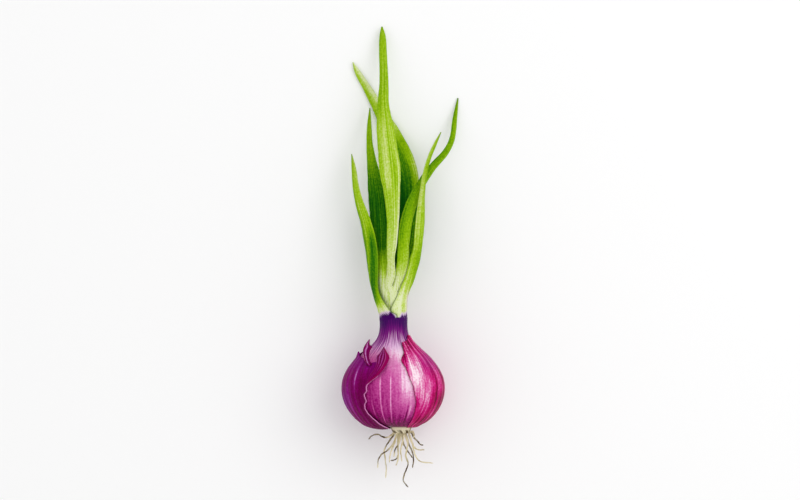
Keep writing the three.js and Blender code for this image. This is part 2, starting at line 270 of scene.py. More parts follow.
def rgb(red, green, blue):
    """A linear colour from 0-255 display values: each is divided by 255 and raised to 2.2."""
    return (*(np.array([red, green, blue]) / 255) ** 2.2, 1.0)


def add_node(tree, kind, inputs=None, **settings):
    """A new shader node, with its properties set and its inputs set or linked, by name or number."""
    made = tree.nodes.new(kind)
    for key, value in settings.items():
        setattr(made, key, value)
    for key, value in (inputs or {}).items():
        if isinstance(value, bpy.types.NodeSocket):
            tree.links.new(value, made.inputs[key])
        else:
            made.inputs[key].default_value = value
    return made


def sum_up(tree, operation, a, b, c=0.5):
    """One Math node's result."""
    return add_node(tree, "ShaderNodeMath", {0: a, 1: b, 2: c}, operation=operation).outputs[0]


def mix_colours(tree, share, a, b, blend="MIX"):
    """Colour b laid over colour a by a share from 0 to 1."""
    made = add_node(tree, "ShaderNodeMix", data_type="RGBA", blend_type=blend)
    for number, value in ((0, share), (6, a), (7, b)):
        if isinstance(value, bpy.types.NodeSocket):
            tree.links.new(value, made.inputs[number])
        else:
            made.inputs[number].default_value = value
    return made.outputs[2]


def ramp(tree, factor, stops):
    """Colours that run through the stops [(place, colour)] as the factor goes from 0 to 1."""
    made = add_node(tree, "ShaderNodeValToRGB", {0: factor})
    elements = made.color_ramp.elements
    while len(elements) < len(stops):
        elements.new(0.5)
    for element, (place, colour) in zip(elements, stops):
        element.position = place
        element.color = colour
    return made.outputs[0]


def mark(tree, name, output="Fac"):
    """A named value of the surface."""
    return add_node(tree, "ShaderNodeAttribute", attribute_name=name).outputs[output]


def new_group(name, inputs, outputs):
    """A shader node group with named sockets, and its inside input and output nodes."""
    tree = bpy.data.node_groups.new(name, "ShaderNodeTree")
    for label, kind, value in inputs:
        socket = tree.interface.new_socket(label, in_out="INPUT", socket_type=kind)
        if value is not None:
            socket.default_value = value
    for label, kind in outputs:
        tree.interface.new_socket(label, in_out="OUTPUT", socket_type=kind)
    return tree, tree.nodes.new("NodeGroupInput"), tree.nodes.new("NodeGroupOutput")


def smooth_range(tree, value, low, high):
    """0 where the value is below low, 1 above high, and 3t^2 - 2t^3 between."""
    inputs = {"Value": value, "From Min": low, "From Max": high}
    return add_node(tree, "ShaderNodeMapRange", inputs, interpolation_type="SMOOTHSTEP").outputs[0]


def streaks_group():
    """Streaks along the grain: a noise stretched along it, with its contrast raised."""
    tree, given, result = new_group(
        "Grain streaks",
        [
            ("Grain", "NodeSocketVector", None),
            ("Count", "NodeSocketFloat", 1.0),
            ("Contrast", "NodeSocketFloat", 2.0),
        ],
        [("Streaks", "NodeSocketFloat")],
    )
    count = given.outputs["Count"]
    scale = add_node(tree, "ShaderNodeCombineXYZ", {"X": count, "Y": count, "Z": 1.0})
    grain = add_node(
        tree, "ShaderNodeVectorMath", {0: given.outputs["Grain"], 1: scale.outputs[0]}, operation="MULTIPLY"
    )
    noise = add_node(tree, "ShaderNodeTexNoise", {"Vector": grain.outputs[0], "Scale": 1.0, "Detail": 2.0})
    centred = sum_up(tree, "SUBTRACT", noise.outputs[0], 0.5)
    raised = sum_up(tree, "MULTIPLY", centred, given.outputs["Contrast"])
    tree.links.new(raised, result.inputs["Streaks"])
    return tree


# Heights in millimetres between which the neck turns violet, then deep violet, then lilac, then green.
VIOLET_START = (13.4, 17.4)
DEEP_START = (17.0, 21.0)
VIOLET_END = (21.9, 22.9)
HEM_END = (22.7, 23.6)


def neck_group():
    """The violet neck: colour over the height along the plant, with a ragged edge along the grain.
    Under the band it fades in streaks, and above it a lilac white hem turns to the leaf's colour."""
    tree, given, result = new_group(
        "Neck violet",
        [("Colour", "NodeSocketColor", None), ("Grain", "NodeSocketVector", None)],
        [("Colour", "NodeSocketColor"), ("Violet", "NodeSocketFloat")],
    )
    place = add_node(tree, "ShaderNodeTexCoord").outputs["Object"]
    parts = add_node(tree, "ShaderNodeSeparateXYZ", {0: place}).outputs
    height = sum_up(tree, "MULTIPLY", parts["Y"], 1 / MM)
    aside = sum_up(tree, "MULTIPLY", sum_up(tree, "ABSOLUTE", parts["X"], 0.0), 0.45 / MM)
    hem = sum_up(tree, "ADD", height, mark(tree, "hem"))
    streaks = use_group(tree, "Grain streaks", grain=given.outputs["Grain"], count=3.0, contrast=5.0)
    ragged = sum_up(tree, "MULTIPLY_ADD", streaks.outputs[0], 0.5, hem)
    spread = sum_up(tree, "MULTIPLY_ADD", streaks.outputs[0], 2.6, sum_up(tree, "ADD", height, aside))
    half_hem = sum_up(tree, "MULTIPLY", mark(tree, "hem"), 0.5)
    lower = sum_up(tree, "MINIMUM", mark(tree, "hem"), half_hem)
    fringe = sum_up(tree, "MULTIPLY_ADD", streaks.outputs[0], 0.5, sum_up(tree, "ADD", height, lower))
    above = smooth_range(tree, ragged, *VIOLET_END)
    green = smooth_range(tree, fringe, *HEM_END)
    below = smooth_range(tree, spread, *VIOLET_START)
    deep = smooth_range(tree, spread, *DEEP_START)
    violet = mix_colours(tree, deep, rgb(124, 24, 120), rgb(66, 0, 90))
    banded = mix_colours(tree, below, given.outputs["Colour"], violet)
    hemmed = mix_colours(tree, above, banded, rgb(214, 190, 218))
    leafy = mix_colours(tree, green, hemmed, given.outputs["Colour"])
    tree.links.new(leafy, result.inputs["Colour"])
    tree.links.new(below, result.inputs["Violet"])
    return tree


def relief_group():
    """Fine ridges along the grain and small pores between them, as a normal."""
    tree, given, result = new_group(
        "Fibre relief",
        [
            ("Grain", "NodeSocketVector", None),
            ("Count", "NodeSocketFloat", 4.0),
            ("Depth", "NodeSocketFloat", 0.00005),
        ],
        [("Normal", "NodeSocketVector")],
    )
    grain, count = given.outputs["Grain"], given.outputs["Count"]
    streaks = use_group(tree, "Grain streaks", grain=grain, count=count)
    place = add_node(tree, "ShaderNodeTexCoord").outputs["Object"]
    pores = add_node(tree, "ShaderNodeTexNoise", {"Vector": place, "Scale": 1800.0, "Detail": 3.0})
    height = sum_up(tree, "MULTIPLY_ADD", pores.outputs[0], 0.5, streaks.outputs[0])
    bump = add_node(tree, "ShaderNodeBump", {"Height": height, "Strength": 1.0})
    tree.links.new(given.outputs["Depth"], bump.inputs["Distance"])
    tree.links.new(bump.outputs[0], result.inputs["Normal"])
    return tree


def use_group(tree, name, **inputs):
    """A shared group placed in a material, with its inputs, by their names, set or linked."""
    named = {key.capitalize(): value for key, value in inputs.items()}
    made = add_node(tree, "ShaderNodeGroup", node_tree=bpy.data.node_groups[name])
    for key, value in named.items():
        if isinstance(value, bpy.types.NodeSocket):
            tree.links.new(value, made.inputs[key])
        else:
            made.inputs[key].default_value = value
    return made


CELL_SCALE = 1700.0  # of the mottling, in cells to a metre
CELL_STRENGTH = 0.42
RELIEF = 4e-5  # height of the fibres in metres


def grown_material(name, stops, rim, tint, roughness, gloss, broad=0.25, fine=0.2, neck=False):
    """A surface that grew along its grain. Its tone, darkest 0 to palest 1, picks a colour from the
    stops, and broad and fine streaks and a mottling of cells shift it where the surface is marked
    streaky. Marks lay the tint and the rim colour over it."""
    material = bpy.data.materials.new(name)
    material.use_nodes = True
    tree = material.node_tree
    shader = tree.nodes["Principled BSDF"]
    grain = mark(tree, "grain", "Vector")
    streaky = mark(tree, "streaky")
    wide = use_group(tree, "Grain streaks", grain=grain, count=1.0, contrast=2.0).outputs[0]
    thin = use_group(tree, "Grain streaks", grain=grain, count=3.5, contrast=2.0).outputs[0]
    shift = sum_up(tree, "MULTIPLY_ADD", thin, fine, sum_up(tree, "MULTIPLY", wide, broad))
    place = add_node(tree, "ShaderNodeTexCoord").outputs["Object"]
    cells = add_node(tree, "ShaderNodeTexNoise", {"Vector": place, "Scale": CELL_SCALE, "Detail": 2.0})
    mottled = sum_up(tree, "SUBTRACT", cells.outputs[0], 0.5)
    shift = sum_up(tree, "MULTIPLY_ADD", mottled, CELL_STRENGTH, shift)
    tone = sum_up(tree, "MULTIPLY_ADD", shift, streaky, mark(tree, "tone"))
    colour = ramp(tree, tone, stops)
    colour = mix_colours(tree, mark(tree, "tint"), colour, tint)
    if neck:
        colour = use_group(tree, "Neck violet", colour=colour, grain=grain).outputs["Colour"]
    colour = mix_colours(tree, mark(tree, "rim"), colour, rim)
    tree.links.new(colour, shader.inputs["Base Color"])
    normal = use_group(tree, "Fibre relief", grain=grain, count=4.0, depth=RELIEF)
    tree.links.new(normal.outputs[0], shader.inputs["Normal"])
    shader.inputs["Roughness"].default_value = roughness
    shader.inputs["Specular IOR Level"].default_value = gloss
    return material


# ---- settings -----------------------------------------------------------------------------------


class OnionSizes(bpy.types.PropertyGroup):
    """Sizes that a user would change."""

    skin_thickness: bpy.props.FloatProperty(
        name="Skin thickness", description="Wall of the dry skins", default=0.25 * MM, unit="LENGTH"
    )
    rim_curl: bpy.props.FloatProperty(
        name="Rim curl", description="How far a torn edge lifts off", default=0.35 * MM, unit="LENGTH"
    )
    root_radius: bpy.props.FloatProperty(
        name="Root radius", description="Half the thickness of a root", default=0.3 * MM, unit="LENGTH"
    )


class OnionColours(bpy.types.PropertyGroup):
    """Colours that a user would change."""

    floor: bpy.props.FloatVectorProperty(
        name="Floor", description="Colour of the surface", size=4, subtype="COLOR",
        default=(0.96, 0.96, 0.96, 1.0),
    )


# ---- bulb ---------------------------------------------------------------------------------------

FLESH_TONES = [
    (0.0, rgb(92, 0, 60)),
    (0.25, rgb(150, 18, 108)),
    (0.5, rgb(196, 78, 152)),
    (0.75, rgb(224, 138, 190)),
    (1.0, rgb(246, 214, 234)),
]

# Pale veins of the scale: angle, width in millimetres, strength, lowest and highest point.
PALE_VEINS = [
    (-27.5, 0.2, 0.3, -9.5, -2.5),
    (-15.5, 0.17, 0.5, -11.8, 5),
    (-3.2, 0.17, 0.5, -11.8, 5),
    (10.5, 0.2, 0.35, -2, 6),
    (22.5, 0.2, 0.4, -10.5, -4),
]


class ONION_OT_bulb(bpy.types.Operator):
    """The fleshy bulb and its violet neck"""

    bl_idname = "onion.bulb"
    bl_label = "Bulb"

    def execute(self, context):
        s = np.linspace(0, 1, 221)[:, None]
        angle = np.linspace(-180, 180, 320, endpoint=False)[None]
        height = spline(PROFILE, s)[..., 1] + 0 * angle
        radius = spline(PROFILE, s)[..., 0] + 0 * angle
        turn = np.radians(angle)
        ribs = 0.05 * np.sin(23 * turn + 2 * np.sin(3 * turn)) + 0.04 * np.sin(41 * turn)
        ribs = ribs * smoothstep(-12, -8, height) * (1 - 0.6 * smoothstep(14, 18, height))
        rings = bulb_point(s, angle, ribs)
        x = rings[..., 0]
        # The tone rises to the right, painted light from the right, rises with height, and falls towards the
        # root plate.
        tone = 0.5 + 0.022 * (x - 1) + 0.018 * height - 0.2 * smoothstep(-6, -12, height)
        # Two pale patches along the right tear of the scale are painted highlights.
        tone += 0.38 * spot(x, height, (4.6, 1.5), (2.1, 7)) + 0.16 * spot(x, height, (2.2, 9.5), (2.5, 4))
        tone += 0.22 * smoothstep(8, 13, height)
        for at, width, strength, low, high in PALE_VEINS:
            reach = smoothstep(low, low + 2, height) * (1 - smoothstep(high - 3, high, height))
            across = (angle - at) * np.pi / 180 * radius
            tone += strength * reach * np.exp(-((across / width) ** 2))
        spike = spot(angle - 19, height, (0, -8), (1.2, 3.4))
        strokes = np.clip(ripple(turn * 60, 12, 7), 0, 1) * smoothstep(-7, -11.5, height)
        marks = {
            "grain": meridian_grain(angle + 0 * height, height),
            "tone": tone - 0.5 * spike - 0.4 * strokes,
            "streaky": 1 + 0.8 * smoothstep(-7, -11, height) + 0 * tone,
            "tint": 0.5 * smoothstep(10, 14, height) * (1 - smoothstep(15, 18, height)),
            "rim": 0 * tone,
            "hem": 0 * tone,
        }
        material = grown_material(
            "Onion flesh", FLESH_TONES, rim=rgb(246, 214, 234), tint=rgb(190, 130, 196),
            roughness=0.34, gloss=0.06, broad=0.12, fine=0.16, neck=True,
        )
        finish_piece(grid_mesh("fleshy_bulb", rings, marks, material), "bulb")
        return {"FINISHED"}


# ---- dry skins ----------------------------------------------------------------------------------

# Palette of the left skin and the shreds: the same dry skin as the right one, painted in shade, so darker and
# more purple.
SHADED_PURPLE_TONES = [
    (0.0, rgb(74, 0, 42)),
    (0.3, rgb(112, 0, 78)),
    (0.55, rgb(136, 10, 112)),
    (0.8, rgb(164, 72, 156)),
    (1.0, rgb(214, 160, 208)),
]
# Palette of the right skin: the same dry skin painted lit, up to a near white for its painted highlight.
LIT_MAGENTA_TONES = [
    (0.0, rgb(104, 0, 52)),
    (0.25, rgb(172, 0, 88)),
    (0.45, rgb(200, 26, 120)),
    (0.7, rgb(222, 110, 170)),
    (1.0, rgb(252, 230, 240)),
]

# Torn front edges as seen from above, (x, y) from the root plate up.
LEFT_TEAR = [
    (-1.6, -12.2),
    (-3.9, -10.9),
    (-5.6, -9.5),
    (-7.1, -8.1),
    (-8.3, -6.6),
    (-8.75, -5.1),
    (-8.3, -3.6),
    (-8.85, -2.0),
    (-8.1, -0.6),
    (-8.2, 0.6),
    (-7.0, 2.0),
    (-5.0, 3.5),
    (-4.4, 5.2),
    (-5.0, 7.6),
]
RIGHT_TEAR = [
    (4.0, -12.2),
    (5.2, -10.4),
    (6.3, -8.0),
    (6.8, -5.6),
    (7.0, -4.0),
    (6.6, -1.8),
    (6.1, 0.6),
    (5.1, 2.8),
    (3.7, 6.3),
    (2.4, 8.5),
    (3.2, 10.6),
    (3.0, 12.1),
    (2.6, 13.9),
]

# Upper edges: (share of the way from the tear in front to the hidden edge, height).
LEFT_TOP = [
    (0, 7.9),
    (0.037, 7.8),
    (0.084, 7.3),
    (0.173, 9.2),
    (0.25, 9.6),
    (0.275, 10.3),
    (0.3, 9.8),
    (0.45, 11.4),
    (0.6, 12.0),
    (0.8, 11.6),
    (1, 12.4),
]
RIGHT_TOP = [
    (0, 13.9),
    (0.1, 14.3),
    (0.17, 14.6),
    (0.26, 15.4),
    (0.33, 16.5),
    (0.5, 16.2),
    (0.7, 15.4),
    (1, 16.0),
]


def upper_edge(outline):
    """The place s of a sheet's upper edge at each share a across it."""
    shares, heights = zip(*outline)
    return lambda a: rise(np.interp(a, shares, heights))


def tear_angle(outline):
    """The angle of a torn edge at each place s, from its outline seen from above."""
    line = spline(outline, np.linspace(0, 1, 300))
    place = np.maximum.accumulate(rise(line[:, 1]) + np.arange(300) * 1e-7)
    angle = angle_seen(line[:, 0], line[:, 1]) + 0.45 * ripple(line[:, 1] * 4, 7)
    return lambda s: np.interp(s, place, angle)


def hidden_edge(middle, seed):
    """A wavy edge that runs up the plant near one angle."""
    return lambda s: middle + 2.2 * ripple(s * 14, seed)


def skin_marks(angle, height, tone, streaky, rim, tint):
    """The marks of a dry skin, for both of its faces."""
    flat = {"tone": tone, "streaky": streaky, "rim": rim, "tint": tint}
    marks = {key: both_faces(value + 0 * tone) for key, value in flat.items()}
    grain = meridian_grain(angle, height)
    marks["grain"] = both_faces(grain)
    return marks


class ONION_OT_dry_skins(bpy.types.Operator):
    """The two torn sheets of dry skin over the bulb"""

    bl_idname = "onion.dry_skins"
    bl_label = "Dry skins"

    def execute(self, context):
        sizes = context.scene.onion_sizes
        wall = sizes.skin_thickness / MM
        curl = sizes.rim_curl / MM

        def lift(share, fullness):
            """Close to the bulb, with low creases along the meridians, and curling off at the tear.
            A full sheet bulges at its side and foot, and another is tucked in at its foot."""

            def lifted(angle, height, from_edge):
                """The lift at a place. At the left shoulder the sheet's upper edge is flicked out."""
                crease = 0.05 * np.sin(np.radians(angle) * 37 + 2 * np.sin(height * 0.2)) - 0.06
                rolled = share * curl * np.exp(-from_edge / 0.5) * (1 - 0.7 * smoothstep(-7, -12, height))
                flicked = 1.6 * spot(angle, height, (-78, 11), (9, 1.4))
                bulge = 0.3 * spot(angle, height, (-92, -2), (40, 9))
                bulge += 0.4 * spot(angle, height, (-60, -12), (50, 2.5))
                fuller = fullness * smoothstep(0.5, 4, from_edge) * bulge
                tucked = 0.3 * (1 - fullness) * smoothstep(-10.2, -12, height)
                return SKIN_LIFT + crease * smoothstep(0.2, 2, from_edge) + rolled + flicked + fuller - tucked

            return lifted

        self.left(lift(1.0, 1.0), wall)
        self.right(lift(0.1, 0.0), wall * 0.8)
        return {"FINISHED"}

    def left(self, lift, wall):
        """The darker sheet, its palette painted in shade, from its tear in front round the underside to the
        back.
        """
        top = upper_edge(LEFT_TOP)
        far = hidden_edge(-215, 3)
        outer, inner, angle, height, from_edge = skin_sheet(
            tear_angle(LEFT_TEAR), far, 0.02, top, lift, wall, (240, 190)
        )
        x = outer[..., 0]
        tone = 0.46 + 0.1 * ripple(angle * 0.12, 5) - 0.2 * np.exp(-from_edge / 3.5)
        tone += 0.5 * spot(angle, height, (-50, 3.5), (1.5, 3.2)) - 0.06 * smoothstep(-5, -12, height)
        tone += 0.25 * spot(angle, height, (-36, 6), (1.5, 1.6))
        tone += 0.2 * spot(angle, height, (-62, -6), (1.5, 3.5))
        rim = np.exp(-((from_edge / 0.3) ** 2)) * (1 - smoothstep(3.4, 4.8, height))
        tint = 0.5 * smoothstep(-12, -15.5, x) * smoothstep(4, -6, height) + 0.25 * smoothstep(3, 9, height)
        marks = skin_marks(angle, height, tone, 1.0, rim, tint)
        material = grown_material(
            "Purple dry skin", SHADED_PURPLE_TONES, rim=rgb(232, 140, 204), tint=rgb(112, 20, 132),
            roughness=0.4, gloss=0.02, broad=0.3, fine=0.22,
        )
        piece = grid_mesh("dry_skin_purple", wall_rings(outer, inner)[:, ::-1], {
            key: value[:, ::-1] for key, value in marks.items()
        }, material)
        finish_piece(piece, "dry_skin_left")

    def right(self, lift, wall):
        """The brighter sheet, its palette painted lit, from its tear in front round the right side to the
        back.
        """
        top = upper_edge(RIGHT_TOP)
        far = hidden_edge(140, 8)
        outer, inner, angle, height, from_edge = skin_sheet(
            tear_angle(RIGHT_TEAR), far, 0.02, top, lift, wall, (200, 190)
        )
        x = outer[..., 0]
        # The broad near-white patch round (6.7, 3.4), with a weaker one to its right, is a painted highlight.
        tone = 0.36 + 0.66 * spot(x, height, (6.7, 3.4), (2.6, 6.8))
        tone += 0.14 * spot(x, height, (10.8, 0), (2.4, 6))
        tone += 0.08 * spot(x, height, (12.5, -4), (2.5, 5)) - 0.06 * smoothstep(12.5, 15, x)
        tone -= 0.26 * smoothstep(0.5, -3.5, height) * smoothstep(11, 13.8, x)
        tone -= 0.2 * smoothstep(-7, -10, height) * smoothstep(5.5, 8, x)
        mottled = spot(x, height, (3.2, 11), (1.4, 3.2))
        tone -= 0.3 * mottled
        rim = np.exp(-((from_edge / 0.2) ** 2)) * 0.8
        tint = 0.45 * smoothstep(2, 9, height) * smoothstep(6, 11, x)
        marks = skin_marks(angle, height, tone, 1.2 + 1.5 * mottled, rim, tint)
        material = grown_material(
            "Magenta dry skin", LIT_MAGENTA_TONES, rim=rgb(120, 0, 60), tint=rgb(150, 40, 132),
            roughness=0.38, gloss=0.03, broad=0.5, fine=0.45,
        )
        piece = grid_mesh("dry_skin_magenta", wall_rings(outer, inner), marks, material)
        finish_piece(piece, "dry_skin_right")


# ---- loose shreds of skin -----------------------------------------------------------------------

# The shreds' two sides as seen from above, from foot to torn top. The upright one's height over the
# middle line comes with them.
UPRIGHT_LEFT = [
    (-8.1, 6.9), (-8.7, 8.2), (-9.2, 10.2), (-9.5, 11.6),
    (-9.2, 12.8), (-8.5, 14.0), (-7.5, 15.3),
]
UPRIGHT_RIGHT = [
    (-6.2, 7.4), (-7.1, 8.2), (-7.6, 9.8), (-7.3, 11.6),
    (-6.6, 12.9), (-7.4, 13.7), (-7.3, 15.1),
]
UPRIGHT_HEIGHT = [11.8, 11.5, 10.9, 10.3, 9.6, 8.7, 7.6]
FOLD_OUTSIDE = [
    (-8.9, 0.6), (-7.7, 3.7), (-6.0, 6.2), (-5.3, 8.1),
    (-5.3, 10.0), (-4.3, 11.0), (-3.2, 12.8),
]
FOLD_INSIDE = [
    (-8.6, 0.5), (-7.0, 2.3), (-5.0, 3.9), (-2.9, 6.3),
    (-1.3, 9.3), (-2.0, 11.2), (-3.0, 12.9),
]


class ONION_OT_shreds(bpy.types.Operator):
    """The two loose shreds of an older skin at the left shoulder"""

    bl_idname = "onion.shreds"
    bl_label = "Loose shreds"

    def execute(self, context):
        # The shreds take the left skin's palette, painted in shade.
        material = grown_material(
            "Shred of skin", SHADED_PURPLE_TONES, rim=rgb(216, 100, 172), tint=rgb(150, 0, 84),
            roughness=0.42, gloss=0.02, broad=0.5, fine=0.5,
        )
        t = np.linspace(0, 1, 91)[:, None]
        u = np.linspace(-1, 1, 41)[None]
        across = 1 - np.abs(u)
        x, y = self.between(UPRIGHT_LEFT, UPRIGHT_RIGHT, t, u)
        height = np.interp(t, np.linspace(0, 1, len(UPRIGHT_HEIGHT)), UPRIGHT_HEIGHT)
        height = height - 0.9 * u**2 + 0.35 * np.exp(-((across / 0.25) ** 2))
        tone = 0.12 + 0.85 * np.exp(-(((u + 0.25) / 0.32) ** 2)) - 0.3 * smoothstep(0.15, 0, t)
        tone = tone + 0.35 * np.exp(-(((u - 0.62) / 0.12) ** 2))
        self.shred("upright", x, y, height, tone, 0.15, 0.0, material)
        x, y = self.between(FOLD_OUTSIDE, FOLD_INSIDE, t, u)
        radius = np.interp(y, PROFILE_LINE[:, 1], PROFILE_LINE[:, 0]) + SKIN_LIFT
        raised = smoothstep(0, 0.35, t)
        pleats = 0.16 * np.abs(np.sin(u * 6.5)) * raised
        bow = (0.55 + 0.5 * (1 - u**2) + 0.25 * smoothstep(0.2, 1, u)) * raised + 0.12
        height = np.sqrt(np.maximum(radius**2 - x**2, 0.5)) + bow + pleats
        tone = 0.4 + 0.42 * np.cos(u * 13) * smoothstep(0.25, 0.7, t) * (u < 0.45) - 0.2 * (u > 0.45)
        rim = 0.5 * np.exp(-(((u - 0.42) / 0.05) ** 2)) * smoothstep(0.3, 0.6, t)
        tint = 0.25 + 0.55 * smoothstep(0.3, 0.6, u)
        self.shred("folded", x, y, height, tone, tint, rim, material)
        return {"FINISHED"}

    def between(self, left, right, t, u):
        """The place at u across, from -1 to 1, between two outlines at t along them."""
        sides = spline(left, t[:, 0])[:, None], spline(right, t[:, 0])[:, None]
        share = ((u + 1) / 2)[..., None]
        seen = sides[0] * (1 - share) + sides[1] * share
        return seen[..., 0], seen[..., 1]

    def shred(self, name, x, y, height, tone, tint, rim, material):
        """One shred: a sheet at a height over the middle line, whose grain runs along it."""
        outer = np.stack([x, y, AXIS_HEIGHT + height + 0 * x], axis=-1)
        u = np.linspace(-1, 1, x.shape[1]) + 0 * x
        grain = np.stack([u * 9, 0 * u + 2.0, y * 0.1], axis=-1)
        flat = {"tone": tone, "tint": tint, "rim": rim, "streaky": 1.0}
        marks = {key: both_faces(value + 0 * u) for key, value in flat.items()}
        marks["grain"] = both_faces(grain)
        piece = grid_mesh("shred_" + name, wall_rings(outer, outer - [0, 0, 0.22]), marks, material)
        finish_piece(piece, "skin_shred_" + name)


# ---- leaves -------------------------------------------------------------------------------------

LEAF_TONES = [
    (0.0, rgb(8, 80, 6)),
    (0.22, rgb(48, 114, 4)),
    (0.45, rgb(114, 162, 2)),
    (0.65, rgb(154, 194, 10)),
    (0.82, rgb(190, 212, 96)),
    (1.0, rgb(222, 230, 182)),
]


def sheath(levels, wall):
    """A leaf's first stations: a curved wall round the plant's middle line. Each level is
    (height, radius, curl, facing)."""
    made = []
    for y, r, curl, facing in levels:
        turn = np.radians(facing)
        width = 2 * r * np.sin(np.radians(min(curl, 180)) / 2)
        made.append((r * np.sin(turn), y, r * np.cos(turn), width, curl, facing, wall))
    return made


